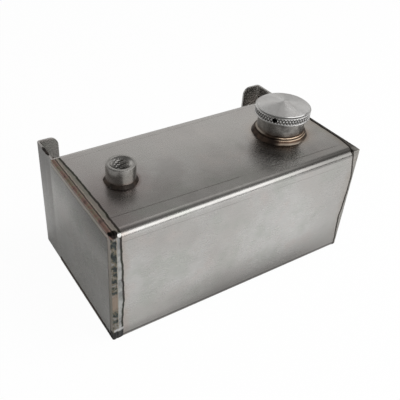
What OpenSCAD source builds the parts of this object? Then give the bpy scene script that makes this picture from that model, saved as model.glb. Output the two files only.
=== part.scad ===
// Hydraulic reservoir: a folded and welded stainless tank with rear mounting flanges,
// a threaded return port and a screwed, vented filler cap on top, a suction port with a
// strainer low on the right end, and a baffle inside.
// X runs along the tank, Y from the front panel towards the mounting flanges, Z up.
// The origin is under the middle of the whole object, on the surface that it stands on.

/* [Tank shell] */
// Length of the tank over both end plates
tank_len = 254; // [240:1:300]
// Depth from the front panel to the back panel
tank_depth = 121; // [115:1:140]
// Height of the tank
tank_height = 115.5; // [110:0.5:140]
// Thickness of the stainless sheet
sheet = 2; // [1.5:0.1:2.5]
// Outside radius of the two folded edges along the top
bend_r = 7; // [4:0.5:8]
// Outside radius of the two folded edges along the bottom
low_bend_r = 2; // [2:0.5:6]

/* [Mounting flanges] */
// Length of the end plates behind the back panel
tail_len = 28.8; // [22:0.1:40]
// Width of each flange, over the end plate
flange_w = 20; // [18:1:26]
// Radius of the flanges' free corners
flange_corner_r = 8; // [4:1:9]
// Diameter of the bolt holes
bolt_d = 7; // [5.5:0.5:9]
// Distance of the bolt holes from the tank's end
bolt_inset = 12; // [11:0.5:13]
// Height of the lower bolt hole, and depth of the upper one below the top
bolt_edge = 25; // [15:1:30]

/* [Ports] */
// Distance of the return port from the left end
return_x = 39.7; // [35:0.1:60]
// Outside diameter of the return port
return_od = 25.6; // [24:0.2:30]
// Diameter inside the return port's thread crests
return_bore_d = 15.2; // [14:0.1:16]
// Height of the return port above the tank
return_stand = 16.7; // [12:0.1:25]
// Outside diameter of the suction port
suction_od = 30; // [28:0.5:34]
// Diameter inside the suction port's thread crests
suction_bore_d = 18.6; // [18:0.1:19]
// Length of the suction port outside the end plate
suction_stand = 14; // [10:0.5:20]
// Height of the suction port's axis
suction_z = 24; // [22:1:30]

/* [Filler] */
// Distance of the filler from the left end
filler_x = 208.7; // [195:0.1:215]
// Outside diameter of the filler neck
neck_od = 43.5; // [42:0.1:46]
// Inside diameter of the filler neck, where the cap screws in
neck_id = 35; // [34:0.1:36]
// Height of the neck's rim above the tank
neck_h = 17.8; // [15:0.1:25]
// Outside diameter of the cap
cap_od = 51.4; // [48:0.1:56]
// Height of the cap's head
cap_head_h = 8.9; // [8:0.1:12]
// Rise of the cap's low conical top above its rim
cap_cone_h = 3.8; // [0:0.1:6]
// Diameter of the vent hole in the cap's side
vent_hole_d = 4.7; // [3:0.1:5]
// Direction of the vent hole, in degrees from +X
vent_angle = -146.5; // [-180:0.5:180]

/* [Baffle] */
// Distance of the baffle from the left end
baffle_x = 112; // [100:1:130]
// Height of the baffle
baffle_h = 82; // [60:1:100]

/* [Hidden] */
$fn = 96;

steel_colour = [0.66, 0.65, 0.63];
bead_colour = [0.52, 0.45, 0.40];
turned_colour = [0.60, 0.60, 0.58];
cap_colour = [0.76, 0.76, 0.75];
seal_colour = [0.06, 0.06, 0.06];
mesh_colour = [0.50, 0.50, 0.47];

// weld beads around the two ends
bead_proud = 0.6;        // height of a bead above the sheet
bead_w = 9.5;            // width on the folded sheet, from the tank's end
bead_face_w = 4.5;       // width on the end plate
seam_gap = 2;            // root gap of the closing seam in the bottom
seam_inset = 22;         // distance of that seam from the back panel
seam_crown = 0.8;        // height of the seam's bead inside the tank
seam_crown_w = 5;

mid_y = tank_depth / 2;
flange_bend_r = 3;

hole_gap = 0.1;          // radial room around a piece that is welded into a hole
edge_break = 0.5;        // small chamfer on the turned pieces' edges
cut = 1;                 // extra length of every cutting shape

// return port, from its outer face downwards
port_inside = 6;         // length below the sheet's outer face
return_mouth_d = 19.4;
return_mouth_h = 1.26;   // depth of the chamfer in the mouth
return_weld_w = 1.8;
return_weld_h = 3.2;
tube_socket_d = 16;
tube_socket_h = 6.5;     // the drop tube's socket ends just above the sheet
tube_wall = 1.5;
tube_top_gap = 0.2;
tube_foot_z = 22;        // height of the lowest point of the drop tube

// suction port and strainer
suction_inside = 18;     // length inside the end plate's outer face
suction_mouth_d = 22;
suction_mouth_h = 1.2;
suction_weld_w = 2.2;
suction_weld_h = 3;
nipple_socket_d = 20.4;
nipple_socket_h = 12;
nipple_bore_d = 15;
nipple_hex = 26;         // across the corners
nipple_hex_h = 7;
screen_len = 72;
screen_od = 27;
screen_wall = 0.8;
core_od = 19;
core_wall = 1;
core_hole_d = 6;
core_hole_pitch = 13;
core_hole_x = 9;         // first row of holes, from the screen's closed end
end_cap_h = 5;
end_cap_d = screen_od + 2;

// baffle and the beads that hold it
baffle_room = 0.5;       // room to the front and back panels
foot_w = 12;
corner_cut = 10;
flow_hole_d = 14;
flow_hole_levels = [0.45, 0.75];   // as shares of the baffle's height
tack_levels = [20, 45, 70];
tack_len = 8;
tack_leg = 3;

// filler, measured from the top of the tank
neck_inside = 8;         // length below the top
neck_ledge_z = 4;        // height of the ledge that holds the basket
neck_throat_d = 31.2;
neck_weld_w = 4.3;
neck_weld_h = 6.5;
gasket_h = 1.7;
spigot_len = 12;
spigot_od = neck_id - 1;
chamber_d = 24;
cap_roof = 3;
basket_od = 30.4;
basket_wall = 0.8;
basket_depth = 45;
basket_rim_d = 34.4;
basket_rim_h = 1;
slot_w = 2.4;            // slots in the basket's wall
slot_h = 9;
slot_pitch = 13;
slot_z = 4 - basket_depth;
floor_hole_d = 4;        // holes in the basket's floor
floor_hole_r = 8;        // their distance from the axis
snap_ring_h = 1.2;
snap_ring_w = 1.45;
snap_ring_slot = 6;
gasket_room = 0.6;       // the gasket lies this far inside the neck's outer edge
cap_top_edge = 0.9;
cap_rim_w = 2.3;         // flat rim with its chamfer, round the cone
cap_low_edge = 0.4;
spigot_edge = 0.6;

// vent valve inside the cap, measured from the spigot's lower end
screen_ring_h = 0.9;
breather_h = 0.6;
seat_h = 3;
seat_hole_d = 8;
poppet_d = 13;
poppet_h = 2;
stem_d = 3.2;
stem_h = 6.5;
spring_d = 8.8;
spring_wire = 0.9;
spring_turns = 5;
valve_gap = 0.05;        // radial room of the pieces pressed into the spigot

// the tank's own corner lies here, seen from the origin
ref_x = (tank_len + suction_stand - bead_proud) / 2;
ref_y = (tank_depth + tail_len - bead_proud) / 2;

cap_z = neck_h + gasket_h;                    // underside of the cap's head
spigot_z = cap_z - spigot_len;
chamber_top = cap_z + cap_head_h - cap_roof;
breather_z = spigot_z + screen_ring_h;
seat_z = breather_z + breather_h;
poppet_z = seat_z + seat_h;
vent_z = cap_z + cap_head_h / 2;
socket_x = tank_len - suction_inside + nipple_socket_h;
hex_x = tank_len - suction_inside - nipple_hex_h;
screen_x = hex_x - screen_len;

// ---------- shared shapes ----------

// Puts a piece drawn from the tank's left, front, bottom corner into the object's frame
module placed() translate([-ref_x, -ref_y, 0]) children();

// Axis of the filler, starting at the top of the tank
module at_filler() placed() translate([filler_x, mid_y, tank_height]) children();

// Axis of the return port, starting at the top of the tank
module at_return() placed() translate([return_x, mid_y, tank_height]) children();

// Axis of the suction port, pointing out of the tank, starting at the tank's left end
module at_suction() placed() translate([0, mid_y, suction_z]) rotate([0, 90, 0]) children();

// Draws a (y, z) outline and extrudes it along +X
module along_x(length) rotate([90, 0, 90]) linear_extrude(height = length) children();

// Rectangle from (x0, y0) to (x1, y1) with round corners, of radius r above and low_r below
module round_rect(x0, y0, x1, y1, r, low_r) {
    translate([x0 + r, y0 + low_r]) square([x1 - x0 - 2 * r, y1 - y0 - low_r]);
    translate([x0 + low_r, y0]) square([x1 - x0 - 2 * low_r, y1 - y0 - r]);
    translate([x0, y0 + low_r]) square([x1 - x0, y1 - y0 - r - low_r]);
    for (x = [x0 + r, x1 - r]) translate([x, y1 - r]) circle(r);
    for (x = [x0 + low_r, x1 - low_r]) translate([x, y0 + low_r]) circle(low_r);
}

// Section of the tank, grown or shrunk by a margin
module section(margin) round_rect(-margin, -margin, tank_depth + margin, tank_height + margin,
                                  max(bend_r + margin, 0.5), max(low_bend_r + margin, 0.5));

// Ring turned from a flat washer shape
module washer(outer_d, inner_d, height) {
    difference() {
        cylinder(d = outer_d, h = height);
        translate([0, 0, -cut]) cylinder(d = inner_d, h = height + 2 * cut);
    }
}

// Tube or disc around the suction axis, from x0 to x1 along the tank
module suction_ring(outer_d, inner_d, x0, x1) {
    at_suction() translate([0, 0, x0]) washer(outer_d, inner_d, x1 - x0);
}

// ---------- tank shell ----------

// Hole in the top for a piece of a given diameter
module top_hole(x, d) translate([x, mid_y, tank_height - bend_r])
    cylinder(d = d + 2 * hole_gap, h = 2 * bend_r);

module tank_wrap() color(steel_colour) placed() difference() {
    translate([sheet, 0, 0]) along_x(tank_len - 2 * sheet) difference() {
        section(0);
        section(-sheet);
    }
    translate([0, tank_depth - seam_inset, -cut]) cube([tank_len, seam_gap, sheet + 2 * cut]);
    top_hole(return_x, return_od);
    top_hole(filler_x, neck_od);
}

module wrap_seam_weld() color(bead_colour) placed() {
    translate([sheet, tank_depth - seam_inset, 0]) cube([tank_len - 2 * sheet, seam_gap, sheet]);
    translate([sheet, tank_depth - seam_inset + (seam_gap - seam_crown_w) / 2, sheet])
        cube([tank_len - 2 * sheet, seam_crown_w, seam_crown]);
}

// Plan view of the tail, its bend and the flange, starting at the back panel
module flange_profile() difference() {
    bent_corner(flange_w, tail_len, flange_bend_r);
    translate([sheet, -cut]) bent_corner(flange_w, tail_len - sheet + cut, flange_bend_r - sheet);
}

// Rectangle whose far corner on the Y axis is round
module bent_corner(w, d, r) {
    square([w, d - r]);
    translate([r, 0]) square([w - r, d]);
    translate([r, d - r]) circle(r);
}

// Side view of the flat plate that closes one end of the tank
module end_outline() {
    round_rect(0, 0, tank_depth, tank_height, bend_r, low_bend_r);
    translate([tank_depth - bend_r - cut, 0]) square([bend_r + cut, tank_height]);
}

// End plate with its tail and flange, drawn for the left end
module end_plate() {
    along_x(sheet) end_outline();
    intersection() {
        translate([0, tank_depth, 0]) linear_extrude(height = tank_height) flange_profile();
        translate([0, tank_depth + tail_len + cut, 0]) rotate([90, 0, 0])
            linear_extrude(height = tail_len + 2 * cut)
                round_rect(-flange_w, 0, flange_w, tank_height, flange_corner_r, flange_corner_r);
    }
}

// Bolt holes of one flange
module flange_holes() {
    for (z = [bolt_edge, tank_height - bolt_edge])
        translate([bolt_inset, tank_depth + tail_len + cut, z]) rotate([90, 0, 0])
            cylinder(d = bolt_d, h = sheet + 2 * cut);
}

module left_end_plate() color(steel_colour) placed() difference() {
    end_plate();
    flange_holes();
}

module right_end_plate() color(steel_colour) difference() {
    placed() translate([tank_len, 0, 0]) mirror([1, 0, 0]) difference() {
        end_plate();
        flange_holes();
    }
    at_suction() translate([0, 0, tank_len - 2 * sheet])
        cylinder(d = suction_od + 2 * hole_gap, h = 3 * sheet);
}

// Bead that wraps the corner between an end plate and the folded sheet, for the left end.
// It is ground flush under the bottom and stops at the end plate's tail.
module end_bead() difference() {
    translate([-bead_proud, 0, 0]) along_x(bead_w + bead_proud) section(bead_proud);
    along_x(bead_w + cut) section(0);
    translate([-bead_proud - cut, 0, 0]) along_x(bead_proud + 2 * cut) section(-bead_face_w);
    translate([-bead_proud - cut, tank_depth - 2 * bead_face_w, bead_face_w])
        cube([bead_proud + cut, 3 * bead_face_w, tank_height - 2 * bead_face_w]);
    translate([-bead_proud - cut, tank_depth - bend_r, -cut])
        cube([sheet + bead_proud + cut, 2 * bend_r, tank_height + 2 * cut]);
    translate([-bead_proud - cut, -bend_r, -bend_r])
        cube([bead_w + 3 * cut, tank_depth + 2 * bend_r, bend_r]);
}

module left_end_weld() color(bead_colour) placed() end_bead();

module right_end_weld() color(bead_colour) placed()
    translate([tank_len, 0, 0]) mirror([1, 0, 0]) end_bead();

// ---------- return port ----------

module return_bung() color(turned_colour) at_return() rotate_extrude() polygon([
    [return_bore_d / 2, return_stand - return_mouth_h],
    [return_mouth_d / 2, return_stand],
    [return_od / 2 - edge_break, return_stand],
    [return_od / 2, return_stand - edge_break],
    [return_od / 2, -port_inside],
    [tube_socket_d / 2, -port_inside],
    [tube_socket_d / 2, -port_inside + tube_socket_h],
    [return_bore_d / 2, -port_inside + tube_socket_h]
]);

module return_bung_weld() color(bead_colour) at_return() rotate_extrude() polygon([
    [return_od / 2, 0],
    [return_od / 2 + return_weld_w, 0],
    [return_od / 2 + 0.8 * return_weld_w, return_weld_h / 2],
    [return_od / 2, return_weld_h]
]);

// Tube that carries the returning oil below the surface, cut at 45 degrees at its foot
module return_drop_tube() color(turned_colour) {
    top = -port_inside + tube_socket_h - tube_top_gap;
    tube_d = tube_socket_d - hole_gap;
    length = tank_height + top - tube_foot_z;
    at_return() difference() {
        translate([0, 0, top - length]) washer(tube_d, tube_d - 2 * tube_wall, length);
        translate([-tube_d / 2, 0, top - length]) rotate([0, 45, 0])
            translate([-2 * tube_d, -tube_d, -2 * tube_d])
                cube([4 * tube_d, 2 * tube_d, 2 * tube_d]);
    }
}

// ---------- suction port and strainer ----------

module suction_bung() color(turned_colour) at_suction() rotate_extrude() polygon([
    [suction_bore_d / 2, socket_x],
    [suction_bore_d / 2, tank_len + suction_stand - suction_mouth_h],
    [suction_mouth_d / 2, tank_len + suction_stand],
    [suction_od / 2 - edge_break, tank_len + suction_stand],
    [suction_od / 2, tank_len + suction_stand - edge_break],
    [suction_od / 2, tank_len - suction_inside],
    [nipple_socket_d / 2, tank_len - suction_inside],
    [nipple_socket_d / 2, socket_x]
]);

module suction_bung_weld() color(bead_colour) at_suction() translate([0, 0, tank_len])
    rotate_extrude() polygon([
        [suction_od / 2, 0],
        [suction_od / 2 + suction_weld_w, 0],
        [suction_od / 2 + 0.75 * suction_weld_w, suction_weld_h / 2],
        [suction_od / 2, suction_weld_h]
    ]);

// Screwed end of the strainer with its hexagon
module strainer_nipple() color(turned_colour) difference() {
    union() {
        suction_ring(nipple_socket_d - hole_gap, nipple_bore_d, hex_x, socket_x - hole_gap);
        at_suction() translate([0, 0, hex_x]) cylinder(d = nipple_hex, h = nipple_hex_h, $fn = 6);
    }
    at_suction() translate([0, 0, hex_x - cut])
        cylinder(d = nipple_bore_d, h = nipple_hex_h + nipple_socket_h + 2 * cut);
}

// Perforated tube that holds the screen open
module strainer_core() color(mesh_colour) difference() {
    suction_ring(core_od, core_od - 2 * core_wall, screen_x, hex_x);
    for (i = [0 : 4], a = [0, 60, 120])
        at_suction() translate([0, 0, screen_x + core_hole_x + core_hole_pitch * i])
            rotate([0, 0, a]) rotate([90, 0, 0])
                cylinder(d = core_hole_d, h = core_od + 2 * cut, center = true, $fn = 24);
}

module strainer_screen() color(mesh_colour)
    suction_ring(screen_od, screen_od - 2 * screen_wall, screen_x, hex_x);

module strainer_end_cap() color(turned_colour)
    at_suction() translate([0, 0, screen_x - end_cap_h]) cylinder(d = end_cap_d, h = end_cap_h);

// ---------- baffle ----------

// Cross wall between the return and the suction side, with flow holes, cut bottom corners
// and a foot that stands on the bottom
module baffle_plate() color(steel_colour) {
    y0 = sheet + baffle_room;
    y1 = tank_depth - y0;
    foot_y1 = tank_depth - seam_inset - seam_crown_w;
    placed() translate([baffle_x, 0, 0]) difference() {
        union() {
            along_x(sheet) polygon([
                [y0 + corner_cut, sheet],
                [y1 - corner_cut, sheet],
                [y1, sheet + corner_cut],
                [y1, sheet + baffle_h],
                [y0, sheet + baffle_h],
                [y0, sheet + corner_cut]
            ]);
            translate([0, y0 + corner_cut, sheet])
                cube([foot_w, foot_y1 - y0 - corner_cut, sheet]);
        }
        for (y = [1 : 3], z = flow_hole_levels)
            translate([-cut, y * tank_depth / 4, z * baffle_h]) rotate([0, 90, 0])
                cylinder(d = flow_hole_d, h = sheet + 2 * cut);
        translate([-cut, foot_y1, 0])
            cube([foot_w, 2 * seam_crown_w + seam_gap, 2 * sheet + seam_crown]);
    }
}

// Short beads that hold the baffle to the front and back panels
module baffle_tacks() color(bead_colour) placed()
    for (side = [0, 1], z = tack_levels)
        translate([baffle_x + sheet, side == 0 ? sheet : tank_depth - sheet, z])
            mirror([0, side, 0]) linear_extrude(height = tack_len)
                polygon([[0, 0], [tack_leg, 0], [0, tack_leg]]);

// ---------- filler neck ----------

module filler_neck() color(turned_colour) at_filler() rotate_extrude() polygon([
    [neck_throat_d / 2, -neck_inside],
    [neck_od / 2, -neck_inside],
    [neck_od / 2, neck_h - edge_break],
    [neck_od / 2 - edge_break, neck_h],
    [neck_id / 2 + edge_break, neck_h],
    [neck_id / 2, neck_h - edge_break],
    [neck_id / 2, neck_ledge_z],
    [neck_throat_d / 2, neck_ledge_z]
]);

module filler_neck_weld() color(bead_colour) at_filler() rotate_extrude() polygon([
    [neck_od / 2, 0],
    [neck_od / 2 + neck_weld_w, 0],
    [neck_od / 2 + 0.75 * neck_weld_w, 0.45 * neck_weld_h],
    [neck_od / 2 + 0.4 * neck_weld_w, 0.75 * neck_weld_h],
    [neck_od / 2, neck_weld_h]
]);

// Slotted cup that hangs in the neck
module filler_basket() color(mesh_colour) at_filler() difference() {
    rotate_extrude() polygon([
        [0, -basket_depth],
        [basket_od / 2, -basket_depth],
        [basket_od / 2, neck_ledge_z],
        [basket_rim_d / 2, neck_ledge_z],
        [basket_rim_d / 2, neck_ledge_z + basket_rim_h],
        [basket_od / 2 - basket_wall, neck_ledge_z + basket_rim_h],
        [basket_od / 2 - basket_wall, basket_wall - basket_depth],
        [0, basket_wall - basket_depth]
    ]);
    for (row = [0 : 2], a = [15 : 30 : 165])
        rotate([0, 0, a]) translate([-basket_od / 2 - cut, -slot_w / 2, slot_z + slot_pitch * row])
            cube([basket_od + 2 * cut, slot_w, slot_h]);
    for (a = [30 : 60 : 330])
        rotate([0, 0, a]) translate([floor_hole_r, 0, -basket_depth - cut])
            cylinder(d = floor_hole_d, h = basket_wall + 2 * cut, $fn = 32);
}

// Split ring that keeps the basket on its ledge
module basket_ring() color(turned_colour) at_filler()
    translate([0, 0, neck_ledge_z + basket_rim_h]) difference() {
        washer(neck_id - hole_gap, neck_id - 2 * snap_ring_w, snap_ring_h);
        translate([0, -snap_ring_slot / 2, -cut])
            cube([neck_id, snap_ring_slot, snap_ring_h + 2 * cut]);
    }

// ---------- filler cap ----------

module cap_gasket() color(seal_colour) at_filler()
    translate([0, 0, neck_h])
        washer(neck_od - gasket_room, neck_id + 2 * gasket_room, gasket_h);

module filler_cap() color(cap_colour) at_filler() difference() {
    rotate_extrude() polygon([
        [0, cap_z + cap_head_h + cap_cone_h],
        [0, chamber_top],
        [chamber_d / 2, chamber_top],
        [chamber_d / 2, spigot_z],
        [spigot_od / 2 - spigot_edge, spigot_z],
        [spigot_od / 2, spigot_z + spigot_edge],
        [spigot_od / 2, cap_z],
        [cap_od / 2 - cap_low_edge, cap_z],
        [cap_od / 2, cap_z + cap_low_edge],
        [cap_od / 2, cap_z + cap_head_h - cap_top_edge],
        [cap_od / 2 - cap_top_edge, cap_z + cap_head_h],
        [cap_od / 2 - cap_rim_w, cap_z + cap_head_h]
    ]);
    translate([0, 0, vent_z]) rotate([0, 0, vent_angle]) rotate([0, 90, 0])
        cylinder(d = vent_hole_d, h = cap_od);
}

module vent_seat() color(turned_colour) at_filler()
    translate([0, 0, seat_z]) washer(chamber_d - 2 * valve_gap, seat_hole_d, seat_h);

module vent_poppet() color(turned_colour) at_filler() translate([0, 0, poppet_z]) {
    cylinder(d = poppet_d, h = poppet_h);
    cylinder(d = stem_d, h = poppet_h + stem_h);
}

// Points of a ring of the spring's wire, a is the angle along the coil
function wire_ring(a, z) = [for (k = [0 : 7])
    [(spring_d / 2 + spring_wire / 2 * cos(45 * k)) * cos(a),
     (spring_d / 2 + spring_wire / 2 * cos(45 * k)) * sin(a),
     z + spring_wire / 2 * sin(45 * k)]];

module vent_spring() color(turned_colour) {
    low = poppet_z + poppet_h + spring_wire / 2 + 0.1;
    high = chamber_top - spring_wire / 2 - 0.1;
    steps = 14 * spring_turns;
    points = [for (i = [0 : steps])
        each wire_ring(360 * spring_turns * i / steps, low + (high - low) * i / steps)];
    sides = [for (i = [0 : steps - 1], k = [0 : 7])
        [8 * i + k, 8 * (i + 1) + k, 8 * (i + 1) + (k + 1) % 8, 8 * i + (k + 1) % 8]];
    ends = [[for (k = [0 : 7]) k], [for (k = [7 : -1 : 0]) 8 * steps + k]];
    at_filler() polyhedron(points = points, faces = concat(sides, ends));
}

module breather_screen() color(mesh_colour) at_filler()
    translate([0, 0, breather_z]) cylinder(d = chamber_d - 2 * valve_gap, h = breather_h);

module screen_ring() color(turned_colour) at_filler()
    translate([0, 0, spigot_z]) washer(chamber_d - 2 * valve_gap, chamber_d - 3, screen_ring_h);

tank_wrap();
wrap_seam_weld();
left_end_plate();
right_end_plate();
left_end_weld();
right_end_weld();
return_bung();
return_bung_weld();
return_drop_tube();
suction_bung();
suction_bung_weld();
strainer_nipple();
strainer_core();
strainer_screen();
strainer_end_cap();
baffle_plate();
baffle_tacks();
filler_neck();
filler_neck_weld();
filler_basket();
basket_ring();
cap_gasket();
filler_cap();
vent_seat();
vent_poppet();
vent_spring();
breather_screen();
screen_ring();
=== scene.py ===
"""Looks of the hydraulic reservoir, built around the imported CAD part."""
import math
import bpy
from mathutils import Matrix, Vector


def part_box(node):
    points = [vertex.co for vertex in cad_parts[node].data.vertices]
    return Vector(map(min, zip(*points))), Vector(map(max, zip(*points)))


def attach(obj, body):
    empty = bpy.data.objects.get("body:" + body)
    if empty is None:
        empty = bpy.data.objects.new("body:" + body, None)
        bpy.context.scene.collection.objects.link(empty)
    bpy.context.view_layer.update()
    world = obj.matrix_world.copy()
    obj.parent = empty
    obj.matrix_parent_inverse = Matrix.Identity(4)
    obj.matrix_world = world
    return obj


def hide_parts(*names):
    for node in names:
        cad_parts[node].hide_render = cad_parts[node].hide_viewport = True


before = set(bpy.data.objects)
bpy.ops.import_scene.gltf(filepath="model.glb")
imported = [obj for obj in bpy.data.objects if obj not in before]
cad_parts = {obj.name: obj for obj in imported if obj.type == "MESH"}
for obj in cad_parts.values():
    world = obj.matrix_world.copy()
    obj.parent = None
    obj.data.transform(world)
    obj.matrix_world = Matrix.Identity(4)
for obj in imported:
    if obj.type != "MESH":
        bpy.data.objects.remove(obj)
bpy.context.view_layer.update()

from types import SimpleNamespace

import bmesh
import bpy
import numpy as np
from mathutils import Quaternion, Vector

MM = 0.001
TAU = 2 * math.pi

# ---- where the CAD parts are
wrap_lo, wrap_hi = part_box("tank_wrap")
plate_lo, plate_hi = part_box("left_end_plate")
LEFT, RIGHT = plate_lo.x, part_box("right_end_plate")[1].x  # the tank's ends
FRONT, BACK = wrap_lo.y, wrap_hi.y
TOP, REAR = wrap_hi.z, plate_hi.y  # REAR is the flanges' far face
SHEET = wrap_lo.x - plate_lo.x
BEND, LOW_BEND = 7 * MM, 2 * MM  # outside radius of the folds, above and below


def axis_of(node):
    """Middle of a CAD node and the two corners of its box."""
    lo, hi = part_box(node)
    return (lo + hi) / 2, lo, hi


bung_mid, bung_lo, bung_hi = axis_of("return_bung")
neck_mid, neck_lo, neck_hi = axis_of("filler_neck")
cap_mid, cap_lo, cap_hi = axis_of("filler_cap")
port_mid, port_lo, port_hi = axis_of("suction_bung")


def link(name, data):
    made = bpy.data.objects.new(name, data)
    bpy.context.scene.collection.objects.link(made)
    return made


# ---- camera
CAMERA_AT = (-0.27006, -0.36222, 0.39229)
CAMERA_AIM = Vector((0.434027, 0.678749, -0.592386))
CAMERA_ROLL = math.radians(2.578)
LENS, SENSOR = 51.916, 36
SHIFT = (0.08, -0.025)


def make_camera():
    """Camera at the angle that fits the tank's visible edges."""
    data = bpy.data.cameras.new("camera")
    camera = link("camera", data)
    camera.location = CAMERA_AT
    camera.rotation_mode = "QUATERNION"
    camera.rotation_quaternion = CAMERA_AIM.to_track_quat("-Z", "Y") @ Quaternion((0, 0, 1), CAMERA_ROLL)
    data.sensor_width, data.lens = SENSOR, LENS
    data.shift_x, data.shift_y = SHIFT
    data.clip_start, data.clip_end = 0.01, 100
    bpy.context.scene.camera = camera


# ---- node trees
class Nodes:
    """A node tree whose steps take sockets or plain values."""

    def __init__(self, tree):
        self.tree = tree

    def node(self, kind, inputs=None, **settings):
        made = self.tree.nodes.new(kind)
        for key, value in settings.items():
            setattr(made, key, value)
        for key, value in (inputs or {}).items():
            self.put(value, made.inputs[key])
        return made

    def put(self, value, socket):
        if isinstance(value, bpy.types.NodeSocket):
            self.tree.links.new(value, socket)
        elif isinstance(value, tuple) and socket.type == "RGBA":
            socket.default_value = (*value, 1)
        else:
            socket.default_value = value

    def math(self, operation, a, b=0.0):
        return self.node("ShaderNodeMath", {0: a, 1: b}, operation=operation).outputs[0]

    def times(self, product, *others):
        for other in others:
            product = self.math("MULTIPLY", product, other)
        return product

    def plus(self, a, b):
        return self.math("ADD", a, b)

    def minus(self, a, b):
        return self.math("SUBTRACT", a, b)

    def flip(self, share):
        return self.minus(1.0, share)

    def centred(self, noise, width):
        """Noise around 0, over about width in all."""
        return self.times(self.minus(noise, 0.5), width)

    def span(self, value, start, end):
        """0 at start, 1 at end, smooth between them; start may be above end."""
        low, high = (0.0, 1.0) if start <= end else (1.0, 0.0)
        inputs = {0: value, 1: min(start, end), 2: max(start, end), 3: low, 4: high}
        return self.node("ShaderNodeMapRange", inputs, interpolation_type="SMOOTHSTEP").outputs[0]

    def band(self, value, middle, half):
        """1 at middle, 0 further than half from it."""
        return self.span(self.math("ABSOLUTE", self.minus(value, middle)), half, half * 0.2)

    def ramp(self, value, stops, interpolation="LINEAR"):
        made = self.node("ShaderNodeValToRGB", {0: value})
        ramp = made.color_ramp
        ramp.interpolation = interpolation
        while len(ramp.elements) < len(stops):
            ramp.elements.new(0.5)
        for element, (at, colour) in zip(ramp.elements, stops):
            element.position = at
            element.color = (*colour, 1)
        return made.outputs[0]

    def mix(self, share, a, b):
        made = self.node("ShaderNodeMix", data_type="RGBA")
        for index, value in ((0, share), (6, a), (7, b)):
            self.put(value, made.inputs[index])
        return made.outputs[2]

    def is_seen(self):
        """1 where the camera itself looks, 0 for light and reflections."""
        return self.node("ShaderNodeLightPath").outputs["Is Camera Ray"]


class Shader(Nodes):
    """A material in the making. colour is its colour so far."""

    def __init__(self, name, metallic=1.0):
        self.material = bpy.data.materials.new(name)
        self.material.use_nodes = True
        super().__init__(self.material.node_tree)
        self.surface = self.tree.nodes["Principled BSDF"]
        self.surface.inputs["Metallic"].default_value = metallic
        self.place = self.node("ShaderNodeTexCoord").outputs["Object"]
        self.x, self.y, self.z = self.node("ShaderNodeSeparateXYZ", {0: self.place}).outputs
        self.colour = None

    def noise(self, scale, detail=3.0, rough=0.55, stretch=(1, 1, 1), shift=0.0):
        offset = (shift, shift * 0.7, shift * 1.3)
        vector = self.node("ShaderNodeMapping", {0: self.place, 1: offset, 3: stretch}).outputs[0]
        inputs = {"Vector": vector, "Scale": scale, "Detail": detail, "Roughness": rough}
        return self.node("ShaderNodeTexNoise", inputs).outputs[0]

    def tint(self, shade, *shares):
        """Turns the colour towards shade by the product of the shares."""
        self.colour = self.mix(self.times(*shares), self.colour, shade)

    def radius(self, centre):
        """Distance in plan from a vertical axis."""
        dx, dy = self.minus(self.x, centre.x), self.minus(self.y, centre.y)
        return self.math("SQRT", self.plus(self.times(dx, dx), self.times(dy, dy)))

    def distance(self, point):
        made = self.node("ShaderNodeVectorMath", {0: self.place, 1: point}, operation="DISTANCE")
        return made.outputs["Value"]

    def attribute(self, name):
        return self.node("ShaderNodeAttribute", attribute_name=name).outputs["Fac"]

    def bump(self, height, distance, strength=1.0, normal=None):
        made = self.node("ShaderNodeBump", {"Height": height, "Distance": distance, "Strength": strength})
        if normal is not None:
            self.put(normal, made.inputs["Normal"])
        return made.outputs[0]

    def finish(self, roughness, normal):
        for name, value in (("Base Color", self.colour), ("Roughness", roughness), ("Normal", normal)):
            self.put(value, self.surface.inputs[name])
        return self.material


# ---- materials
BROWN, PURPLE = (0.30, 0.21, 0.15), (0.36, 0.27, 0.27)
STEEL_DULL, STEEL_CLEAN = (0.50, 0.495, 0.48), (0.56, 0.555, 0.54)
# the second colour is a painted glint, a highlight spot on the left bead's corner
SOOT, PAINTED_GLINT = (0.014, 0.012, 0.011), (0.90, 0.90, 0.88)
FACING_PITCH = 0.35 * MM  # of the turning marks on the cap
WIRE_PITCH = 0.9 * MM
# the last of these spots is a painted glint, a painted highlight where the front fold's highlight ends
CORNER_SPOTS = [  # on the left bead's upper front corner: offset and reach in millimetres, and shade
    ((3.4, 2.0, -0.6), 4.4, SOOT), ((0.6, 3.4, 0.0), 2.4, SOOT), ((7.6, 1.2, -2.2), 2.2, PAINTED_GLINT)]


def sheet_zones(s):
    """Masks and distances that the sheet's tones share. Those with wander in them have ragged edges."""
    wander = s.centred(s.noise(60, 3, 0.6, shift=1.7), 16 * MM)
    in_left, in_right, depth = s.minus(s.x, LEFT), s.minus(RIGHT, s.x), s.minus(s.y, FRONT)
    on_wrap = s.times(s.span(in_left, 0.8 * MM, 2.2 * MM), s.span(s.y, BACK + 1 * MM, BACK),
                      s.span(in_right, 0.8 * MM, 2.2 * MM))
    return SimpleNamespace(
        wander=wander, in_left=in_left, in_right=in_right, depth=depth, on_wrap=on_wrap,
        from_left=s.plus(in_left, wander), from_right=s.plus(in_right, wander),
        along_tail=s.plus(s.minus(s.y, BACK), s.times(wander, 0.15)),
        on_top=s.span(s.z, TOP - 2.5 * MM, TOP - 0.5 * MM), on_front=s.span(depth, 2.5 * MM, 0.5 * MM),
        on_left=s.span(in_left, 0.3 * MM, 0.1 * MM))


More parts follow.
